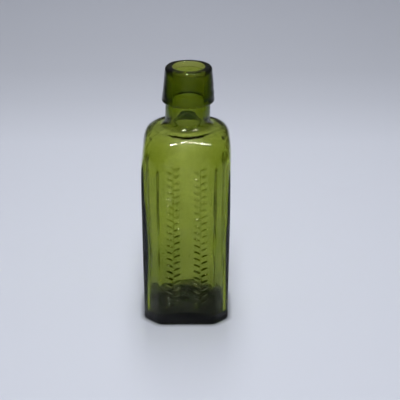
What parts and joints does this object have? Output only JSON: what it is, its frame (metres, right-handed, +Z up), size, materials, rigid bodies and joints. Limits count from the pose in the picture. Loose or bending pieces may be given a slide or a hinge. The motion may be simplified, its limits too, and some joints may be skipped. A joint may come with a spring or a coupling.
{
  "type": "schnapps bottle",
  "caption": "Square mould-blown glass spirit bottle with bevelled corners, rounded shoulders, short neck and a sloping applied lip, open at the mouth.",
  "frame": {"origin": "middle of the face that the bottle stands on", "axes": "+Z up through the mouth, -Y towards the front panel, +X to the right of the front panel"},
  "size_m": [0.0605, 0.0602, 0.1785],
  "materials": {
    "body_glass": "glossy transparent olive-green glass, slightly wavy and seedy",
    "lip_glass": "glossy transparent olive-green glass, tooled smooth"
  },
  "bodies": {
    "root": {"bottle_body": "body_glass", "applied_collar": "lip_glass"}
  },
  "joints": []
}
